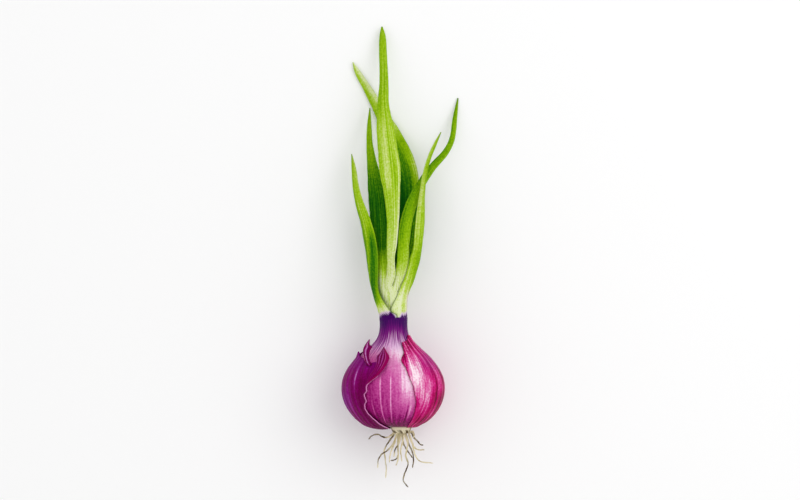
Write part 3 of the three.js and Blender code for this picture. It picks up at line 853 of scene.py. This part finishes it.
# Each leaf: its slot, its stations, its tone along its length, how much paler its right side is than
# its left, its stripes (u at their low and high end, width, strength, low and high end), its hem,
# how much lower than usual the violet ends, by the place across the plant's front, and how strongly
# its outer side blushes lilac over the neck.
LEAVES = {
    "outer_left": {
        "slot": "leaf_olive",
        "stations": [
            *sheath([(19.8, 4.15, 252, -100), (21.2, 4.44, 236, -100), (22.8, 4.52, 226, -100)], 0.22),
            (-5.1, 24.9, -0.2, 9.0, 180, -97, 0.3),
            (-6.0, 27.4, 0.4, 6.5, 150, -87, 0.35),
            (-6.6, 29.9, 0.8, 5.2, 120, -76, 0.4),
            (-7.0, 32.6, 1.1, 4.8, 105, -62, 0.5),
            (-7.2, 37.3, 1.3, 5.0, 92, -48, 0.7),
            (-7.4, 42.3, 1.2, 4.8, 88, -38, 0.9),
            (-8.0, 47.2, 0.6, 4.3, 82, -30, 0.9),
            (-9.2, 52.4, -0.7, 3.6, 80, -25, 0.9),
            (-10.8, 57.5, -2.4, 2.8, 85, -22, 0.8),
            (-11.9, 62.5, -4.4, 2.2, 90, -20, 0.7),
            (-12.5, 68, -7.0, 1.6, 100, -20, 0.6),
            (-13.1, 72.8, -9.0, 0.3, 110, -20, 0.2),
        ],
        "tones": [
            (20, 0.9), (25, 0.86), (28, 0.54), (31, 0.45), (36, 0.42),
            (45, 0.44), (55, 0.56), (66, 0.68), (73, 0.6),
        ],
        "side": 0.1,
        "stripes": [(0.3, 0.5, 0.42, -0.3, 26, 48), (-0.35, -0.2, 0.15, 0.2, 30, 60)],
        "hem": [
            (-4.5, 0.1), (-3.3, -0.6), (-2.3, -0.8), (-1.6, -0.6), (-0.8, -2),
            (-0.2, -0.8), (0.5, 0.2), (1.0, 1.2), (1.5, 2.6),
        ],
    },
    "outer_right": {
        "slot": "leaf_olive",
        "stations": [
            *sheath([(20.4, 4.0, 228, 97), (22.0, 4.26, 228, 97), (25.6, 4.25, 212, 95)], 0.2),
            (4.72, 29.5, 0.5, 6.6, 150, 72, 0.35),
            (5.75, 33.1, 1.2, 5.6, 110, 55, 0.5),
            (6.4, 36.4, 1.8, 4.3, 95, 42, 0.6),
            (7.0, 39.8, 2.2, 3.8, 90, 32, 0.7),
            (7.75, 43.5, 2.6, 3.1, 85, 28, 0.8),
            (8.3, 49, 2.7, 3.2, 88, 25, 0.8),
            (8.7, 55, 2.4, 2.7, 100, 20, 0.8),
            (9.1, 60.5, 1.6, 1.9, 110, 20, 0.7),
            (9.8, 66.2, 0.4, 1.5, 110, 20, 0.6),
            (11.2, 71.5, -1.1, 1.35, 110, 20, 0.5),
            (13.0, 75.8, -2.7, 1.1, 110, 20, 0.4),
            (14.8, 79.6, -4.2, 0.3, 110, 20, 0.2),
        ],
        "tones": [
            (20, 0.86), (28, 0.86), (33, 0.62), (40, 0.55),
            (50, 0.71), (60, 0.76), (70, 0.62), (79, 0.66),
        ],
        "side": -0.14,
        "stripes": [(-0.95, -0.95, 0.3, -0.14, 38, 68)],
        "blush": 0.8,
        "hem": [(1.5, 2.9), (1.9, 1.4), (2.3, -0.1), (3.0, -0.5), (3.6, -0.2), (4.2, -0.9)],
    },
    "tall_centre": {
        "slot": "leaf_bright",
        "stations": [
            *sheath([(22.5, 3.5, 170, -25), (26, 3.4, 150, -25)], 0.3),
            (-1.4, 29.3, 2.8, 5.3, 100, -20, 0.35),
            (-1.95, 31.9, 3.1, 3.1, 90, -16, 0.4),
            (-0.95, 35.2, 3.6, 3.0, 80, -12, 0.5),
            (-0.85, 38.2, 3.9, 2.5, 80, -6, 0.6),
            (-0.85, 41, 3.95, 2.5, 80, -3, 0.7),
            (-0.5, 45.5, 3.9, 3.3, 80, 0, 0.9),
            (-0.2, 52.5, 3.7, 3.8, 80, 0, 1.0),
            (-0.5, 60.5, 3.0, 5.1, 80, 0, 1.2),
            (-1.1, 67.5, 1.9, 6.5, 85, 0, 1.3),
            (-1.8, 74, 0.6, 6.3, 85, 0, 1.3),
            (-2.6, 81, -1.2, 5.4, 90, 0, 1.2),
            (-3.2, 88, -3.6, 3.8, 95, 0, 1.1),
            (-3.0, 95.5, -6.6, 2.8, 100, 0, 1.0),
            (-3.3, 104, -10.2, 2.5, 100, 0, 0.9),
            (-3.45, 109.5, -12.6, 2.0, 110, 0, 0.7),
            (-3.65, 112.6, -13.9, 0.5, 110, 0, 0.3),
        ],
        "tones": [
            (22, 0.98), (34, 0.95), (40, 0.86), (50, 0.74),
            (65, 0.64), (80, 0.66), (90, 0.58), (110, 0.6),
        ],
        "side": 0.04,
        "stripes": [(-0.3, -0.3, 0.25, 0.2, 62, 84), (0.85, 0.85, 0.15, 0.22, 44, 72)],
    },
    "inner_left": {
        "slot": "leaf_dark",
        "stations": [
            *sheath([(22.5, 3.1, 150, -95), (26, 3.2, 140, -88)], 0.3),
            (-3.8, 28, 1.2, 5.8, 145, -62, 0.35),
            (-3.85, 30.3, 1.9, 5.4, 140, -42, 0.4),
            (-3.6, 34, 2.1, 4.8, 114, -28, 0.5),
            (-3.7, 38, 1.6, 4.4, 80, -20, 0.6),
            (-4.2, 43, -0.1, 4.9, 70, -18, 0.8),
            (-4.6, 50, -1.9, 5.6, 60, -10, 1.0),
            (-5.0, 57.5, -3.7, 5.7, 60, -8, 1.1),
            (-5.8, 64, -5.8, 4.8, 65, -5, 1.0),
            (-6.8, 70, -7.8, 3.2, 80, -5, 0.8),
            (-7.5, 76, -10.0, 2.0, 90, -5, 0.6),
            (-7.6, 81.5, -12.2, 1.5, 95, -5, 0.5),
            (-7.4, 87.2, -14.2, 0.3, 100, -5, 0.2),
        ],
        "tones": [
            (22, 0.97), (33, 0.95), (37, 0.66), (41.5, 0.45), (44, 0.18),
            (58, 0.1), (65, 0.27), (72, 0.52), (87, 0.62),
        ],
        "side": 0.0,
    },
    "curved_right": {
        "slot": "leaf_olive",
        "stations": [
            *sheath([(22.5, 2.5, 170, 50), (28, 2.7, 150, 44)], 0.3),
            (2.1, 33, 2.7, 3.9, 110, 22, 0.4),
            (3.0, 38.5, 3.0, 3.8, 80, 14, 0.7),
            (3.2, 44.4, 2.9, 3.7, 75, 10, 0.9),
            (3.8, 50.5, 2.3, 3.9, 75, 8, 1.0),
            (5.4, 56.5, 1.0, 3.6, 80, 8, 0.9),
            (8.2, 62.6, -1.2, 2.9, 90, 10, 0.8),
            (12.0, 68.4, -3.9, 2.4, 95, 12, 0.7),
            (16.3, 73.3, -6.8, 2.1, 95, 15, 0.7),
            (18.4, 77.8, -9.8, 1.8, 100, 15, 0.6),
            (19.25, 84.2, -13.2, 1.5, 100, 15, 0.5),
            (20.1, 90.3, -15.3, 0.4, 100, 15, 0.3),
        ],
        "tones": [
            (22, 0.98), (34, 0.92), (39, 0.66), (46, 0.56),
            (58, 0.44), (68, 0.42), (76, 0.5), (90, 0.46),
        ],
        "side": 0.1,
    },
    "broad_back": {
        "slot": "leaf_dark",
        "stations": [
            *sheath([(22.5, 1.8, 200, 150), (29, 1.9, 160, 150)], 0.5),
            (2.1, 36, -2.4, 5.2, 90, 165, 0.6),
            (3.3, 42.5, -4.0, 6.2, 60, 172, 0.7),
            (4.2, 50, -6.0, 6.5, 50, 178, 0.8),
            (4.6, 57.5, -8.4, 6.7, 45, 180, 0.8),
            (4.3, 65, -11.0, 7.1, 45, 180, 0.8),
            (2.5, 71.8, -13.2, 6.9, 45, 180, 0.8),
            (-0.3, 78.4, -14.8, 5.6, 45, 180, 0.7),
            (-4.2, 86.0, -15.3, 3.7, 45, 180, 0.6),
            (-8.1, 93.1, -15.3, 2.6, 45, 180, 0.5),
            (-11.2, 98.3, -15.0, 1.8, 45, 180, 0.4),
            (-12.7, 101.5, -14.7, 0.3, 45, 180, 0.2),
        ],
        "tones": [
            (22, 0.6), (34, 0.3), (42, 0.08), (58, 0.08),
            (66, 0.26), (76, 0.42), (84, 0.72), (100, 0.84),
        ],
        "side": -0.2,
        "stripes": [(-0.8, -0.8, 0.3, 0.3, 60, 72)],
    },
}


class ONION_OT_leaves(bpy.types.Operator):
    """The six green leaves, each with its own sheath"""

    bl_idname = "onion.leaves"
    bl_label = "Leaves"

    def execute(self, context):
        for seed, (name, leaf) in enumerate(LEAVES.items()):
            outer, inner, u, y = band(leaf["stations"], 320, 60, ribs=9, rib_depth=0.035, seed=seed)
            heights, tones = zip(*leaf["tones"])
            tone = np.interp(y, heights, tones) + leaf["side"] * u
            for start, end, width, strength, low, high in leaf.get("stripes", ()):
                at = np.interp(y, [low, high], [start, end])
                reach = smoothstep(low - 1, low + 1, y) * (1 - smoothstep(high - 4, high + 4, y))
                tone += strength * reach * np.exp(-(((u - at) / width) ** 2))
            grain = np.stack([u * 8, 0 * u + 5.3 * seed, y * 0.05], axis=-1)
            seam = smoothstep(0.92, 0.96, np.abs(u)) * (1 - 0.7 * smoothstep(32, 44, y))
            lilac = np.exp(-((u / 0.16) ** 2)) * (1 - smoothstep(28, 31, y))
            marks = {
                "grain": both_faces(grain),
                "tone": both_faces(tone),
                "streaky": both_faces(1 + 0 * u),
                "tint": both_faces(leaf.get("blush", 0) * lilac),
                "rim": both_faces(0.8 * seam),
                "hem": both_faces(np.interp(outer[..., 0], *zip(*leaf.get("hem", [(0, 0)])))),
            }
            material = grown_material(
                "Leaf " + name.replace("_", " "), LEAF_TONES, rim=rgb(104, 128, 44),
                tint=rgb(214, 176, 208), roughness=0.42, gloss=0.04, broad=0.26, fine=0.36, neck=True,
            )
            piece = grid_mesh("leaf_" + name + "_blade", wall_rings(outer, inner), marks, material)
            finish_piece(piece, "leaf_" + name)
        return {"FINISHED"}


# ---- root plate and roots -----------------------------------------------------------------------

ROOT_TONES = [
    (0.0, rgb(52, 40, 22)),
    (0.3, rgb(122, 98, 58)),
    (0.6, rgb(200, 186, 136)),
    (1.0, rgb(236, 226, 194)),
]

# Each root as points (x, y, height over the middle line).
ROOTS = [
    [
        (-0.4, -14.3, 1), (-1.6, -15.2, 1.6), (-3.2, -15.2, 2), (-4.9, -14.35, 2.2), (-6.7, -14.8, 1.6),
        (-7.8, -15.9, 0.8),
    ],
    [
        (0.1, -14.5, -0.6), (-1.2, -16.3, -1.3), (-2.3, -18, -1.8), (-2.9, -19.6, -2.2),
        (-2.6, -22, -2.6), (-2.3, -25, -3.4), (-2.45, -28.1, -4.4),
    ],
    [
        (0.9, -14.75, 0.6), (-0.1, -17.2, 1.2), (-1.7, -19.2, 1.5), (-3.6, -20.5, 1.4),
        (-4.7, -22.2, 1), (-4.95, -24.8, 0.2),
    ],
    [(0.8, -14.65, 2), (0.2, -17.3, 3), (-0.6, -19.2, 3.6), (-1.15, -21.2, 3.9), (-1.3, -23.1, 3.9)],
    [
        (1.3, -14.7, -1.5), (1.3, -17.7, -2.2), (1.45, -20.4, -2.6), (0.8, -22.1, -2.8),
        (-1, -22.65, -3.3),
    ],
    [(2.3, -14.8, 1.4), (1.5, -17.5, 2.2), (0.5, -19, 2.6), (0.1, -21.4, 2.8)],
    [
        (1.8, -14.75, 0.1), (1.35, -18.4, -0.1), (1.5, -20.8, -0.4), (1.25, -22.7, -0.8),
        (0.75, -24.1, -1.2),
    ],
    [(3.2, -14.7, 2.2), (2.6, -17.4, 3.2), (2.2, -19.4, 3.8), (2.6, -22.75, 4)],
    [
        (3.6, -14.65, 0.8), (4.4, -17, 1.4), (4.1, -19.2, 1.6), (3.8, -21, 1.5), (4.5, -23.5, 1.1),
        (3.9, -25.4, 0.5), (3.2, -27.3, -0.2), (3.1, -29, -0.8), (4.6, -30.9, -1.8),
    ],
    [(2.7, -14.75, -0.8), (3, -17, -1.4), (3.9, -18.9, -1.9), (5, -20.5, -2.4), (5.9, -21.7, -2.8)],
    [(3.9, -14.5, -1.9), (4.8, -17.6, -3), (5.8, -19.8, -3.8), (6.2, -22.2, -4.7), (5.9, -24.9, -5.9)],
    [
        (4.8, -14.2, 0.9), (5.8, -16.8, 1.6), (6.2, -19, 1.8), (6.9, -21.2, 1.6), (8.4, -22.8, 1.1),
        (12.35, -23.35, 0.1),
    ],
    [
        (4.7, -14.3, -0.5), (5.6, -16.8, -0.9), (6.5, -18.5, -1.1), (7.8, -19.2, -1.3),
        (9.6, -19.2, -1.9),
    ],
    [
        (5.5, -13.9, -1.4), (6.4, -15.5, -2.1), (7.4, -16.5, -2.6), (8.3, -17.55, -3.1),
        (9.25, -17.8, -3.6),
    ],
    [(5.9, -13.5, 0.5), (6.3, -14.3, 0.8), (6.35, -14.9, 0.9), (6.1, -15.4, 0.8)],
]


# Dark stretches of some roots: where along the root they start and end, from 0 to 1.
DARK_STRETCHES = {
    1: (0.4, 1.2),
    2: (0.15, 0.45),
    3: (0.5, 0.9),
    5: (0.75, 1.2),
    6: (0.55, 0.85),
    9: (0.5, 1.2),
    10: (0.4, 1.2),
    11: (0.35, 1.2),
    14: (0.2, 1.2),
}


def tube(points, radius, steps, sides, seed):
    """A tapering root: circles along a smooth line, whose radius swells and narrows by a ripple."""
    t = np.linspace(0, 1, steps + 1)
    line = spline(points, t)
    line[:, :2] += 0.05 * np.stack([ripple(t * 40, seed), ripple(t * 40, seed + 50)], axis=-1)
    tangent = unit(np.gradient(line, axis=0))
    side = unit(np.cross(tangent, [0.0, 0.0, 1.0]))
    up = np.cross(side, tangent)
    swell = 1 + 0.25 * ripple(t * 22, seed + 9)
    end = np.sqrt(1 - np.clip((t - 0.96) / 0.04, 0, 0.97) ** 2)
    r = (radius * (1 - 0.4 * t) * swell * end)[:, None, None]
    turn = np.linspace(0, 2 * np.pi, sides, endpoint=False)[None, :, None]
    rings = line[:, None] + r * (up[:, None] * np.cos(turn) + side[:, None] * np.sin(turn))
    return rings + [0, 0, AXIS_HEIGHT], t


class ONION_OT_roots(bpy.types.Operator):
    """The corky root plate and the fifteen roots"""

    bl_idname = "onion.roots"
    bl_label = "Roots"

    def execute(self, context):
        radius = context.scene.onion_sizes.root_radius / MM
        material = grown_material(
            "Root", ROOT_TONES, rim=rgb(232, 222, 190), tint=rgb(76, 58, 28),
            roughness=0.7, gloss=0.02, broad=0.5, fine=0.5,
        )
        for number, points in enumerate(ROOTS, start=1):
            x, y, z = points[0]
            inside = (PLATE_OFFSET + 0.8 * (x - PLATE_OFFSET), PLATE_LOW[1] + 0.7, 0.8 * z)
            rings, t = tube([inside, *points], radius, 80, 10, number)
            around = np.linspace(0, 2 * np.pi, 10, endpoint=False)[None]
            t = t[:, None] + 0 * around
            low, high = DARK_STRETCHES.get(number, (2, 3))
            dark = smoothstep(low - 0.08, low + 0.08, t) * (1 - smoothstep(high - 0.08, high + 0.08, t))
            dark *= 0.75 + 0.25 * ripple(t * 16, number)
            marks = {
                "grain": np.stack([np.cos(around) + number * 3 + 0 * t, np.sin(around) + 0 * t, t * 3], -1),
                "tone": 0.9 - 0.3 * np.clip(ripple(t * 9, number + 30), 0, 1),
                "streaky": 0.5 + 0 * t,
                "tint": 0.35 * np.clip(ripple(t * 9, number + 70), 0, 1) + dark,
                "rim": 0 * t,
            }
            name = f"root_{number:02d}"
            finish_piece(grid_mesh(name + "_fibre", rings, marks, material), name)
        self.plate(material)
        return {"FINISHED"}

    def plate(self, material):
        """A corky disc: a rounded profile turned round its own middle, with seeded knobs on it, a painted
        highlight pale at the top and a painted shadow, dark, between the roots."""
        t = np.linspace(0, 1, 41)[:, None]
        turn = np.linspace(0, 2 * np.pi, 72, endpoint=False)[None]
        low, high = PLATE_LOW[1], PLATE_HIGH[1] + 0.55
        outline = [(0.3, low + 0.3), (1.7, low + 0.2), (2.5, low + 0.5), (2.9, low + 1.1), (3.5, high)]
        profile = spline(outline, t[:, 0])
        knobs = ripple(np.cos(turn) * 9, 2) * ripple(np.sin(turn) * 8 + t * 5, 4)
        ragged = ripple(np.cos(turn) * 6 + np.sin(turn) * 3, 15) * smoothstep(0.7, 1, t)
        r = profile[:, None, 0] * (1 + 0.05 * ripple(turn * 3, 6)) + 0.2 * knobs + 0.3 * ragged
        y = profile[:, None, 1] + 0.25 * knobs * (1 - t) + 0.3 * ragged
        x, z = PLATE_OFFSET + r * np.sin(turn), AXIS_HEIGHT + r * np.cos(turn)
        rings = np.stack([x, y + 0 * turn, z], axis=-1)
        aside = np.abs(x - PLATE_OFFSET)
        # Painted shadow: ragged dark patches below the pale top, between the roots' bases.
        painted_root_shadows = np.clip(0.45 + 1.1 * ripple(np.sin(turn) * 9 + y * 2.5, 24), 0, 1)
        painted_root_shadows *= smoothstep(-12.7, -13.2, y) * (1 - 0.6 * smoothstep(-13.9, -14.4, y))
        marks = {
            "grain": np.stack([r * np.cos(turn), r * np.sin(turn), y + 0 * turn], axis=-1),
            "tone": 0.95 + 0.2 * knobs,
            "streaky": 0.8 + 0 * knobs,
            "tint": 0.6 * smoothstep(2.2, 3.2, aside) + painted_root_shadows,
            # The pale top at the middle is a painted highlight.
            "rim": 0.85 * smoothstep(-13.3, -12.8, y) * (1 - smoothstep(2.4, 3.0, aside)),
        }
        finish_piece(grid_mesh("root_plate_cork", rings, marks, material), "root_plate")


# ---- stage --------------------------------------------------------------------------------------

VIEW_CENTRE = (2.0 * MM, 42.9 * MM)
VIEW_WIDTH = 248.6 * MM
CAMERA_HEIGHT = 4.0


class ONION_OT_stage(bpy.types.Operator):
    """A pale floor, soft studio light and the camera"""

    bl_idname = "onion.stage"
    bl_label = "Stage"

    def execute(self, context):
        scene = context.scene
        self.floor(scene)
        self.light(scene, "Key", (0.42, 0.22, 0.62), 0.6, 1.7)
        self.light(scene, "Fill", (-0.45, 0.1, 0.7), 1.2, 1.2)
        world = bpy.data.worlds.new("Studio")
        world.use_nodes = True
        background = world.node_tree.nodes["Background"]
        background.inputs["Color"].default_value = (1, 1, 1, 1)
        background.inputs["Strength"].default_value = 0.74
        scene.world = world
        scene.view_settings.view_transform = "Standard"
        camera = bpy.data.objects.new("Camera", bpy.data.cameras.new("Camera"))
        camera.location = (*VIEW_CENTRE, CAMERA_HEIGHT)
        camera.data.sensor_width = 36.0
        camera.data.lens = 36.0 * (CAMERA_HEIGHT - AXIS_HEIGHT * MM) / VIEW_WIDTH
        camera.data.clip_end = 10.0
        scene.collection.objects.link(camera)
        scene.camera = camera
        return {"FINISHED"}

    def floor(self, scene):
        """A plain square at z = 0."""
        mesh = bpy.data.meshes.new("Floor")
        reach = 3.0
        corners = [(-reach, -reach, 0), (reach, -reach, 0), (reach, reach, 0), (-reach, reach, 0)]
        mesh.from_pydata(corners, [], [(0, 1, 2, 3)])
        material = bpy.data.materials.new("Floor")
        material.use_nodes = True
        shader = material.node_tree.nodes["Principled BSDF"]
        shader.inputs["Base Color"].default_value = scene.onion_colours.floor
        shader.inputs["Roughness"].default_value = 0.9
        mesh.materials.append(material)
        floor = bpy.data.objects.new("Floor", mesh)
        scene.collection.objects.link(floor)

    def light(self, scene, name, place, size, power):
        """A square soft box that faces the middle of the plant."""
        lamp = bpy.data.lights.new(name, "AREA")
        lamp.size = size
        lamp.energy = power
        made = bpy.data.objects.new(name, lamp)
        made.location = place
        target = np.array([VIEW_CENTRE[0], VIEW_CENTRE[1] / 2, 0.01])
        x, y, z = target - place
        made.rotation_euler = (np.arctan2(np.hypot(x, y), -z), 0, np.arctan2(-x, y))
        scene.collection.objects.link(made)


# ---- add-on -------------------------------------------------------------------------------------

OPERATORS = (
    ONION_OT_bulb,
    ONION_OT_dry_skins,
    ONION_OT_shreds,
    ONION_OT_leaves,
    ONION_OT_roots,
    ONION_OT_stage,
)


class ONION_PT_panel(bpy.types.Panel):
    """Lists the onion's pieces and settings"""

    bl_idname = "ONION_PT_panel"
    bl_label = "Onion set"
    bl_space_type = "VIEW_3D"
    bl_region_type = "UI"
    bl_category = "Onion"

    def draw(self, context):
        for settings in (context.scene.onion_sizes, context.scene.onion_colours):
            for name in settings.__annotations__:
                self.layout.prop(settings, name)
        for operator in OPERATORS:
            self.layout.operator(operator.bl_idname)


CLASSES = (OnionSizes, OnionColours, *OPERATORS, ONION_PT_panel)


def register():
    for cls in CLASSES:
        bpy.utils.register_class(cls)
    bpy.types.Scene.onion_sizes = bpy.props.PointerProperty(type=OnionSizes)
    bpy.types.Scene.onion_colours = bpy.props.PointerProperty(type=OnionColours)


def unregister():
    del bpy.types.Scene.onion_colours
    del bpy.types.Scene.onion_sizes
    for cls in reversed(CLASSES):
        bpy.utils.unregister_class(cls)


def main():
    register()
    streaks_group()
    neck_group()
    relief_group()
    for operator in OPERATORS:
        group, name = operator.bl_idname.split(".")
        getattr(getattr(bpy.ops, group), name)()


if __name__ == "__main__":
    main()
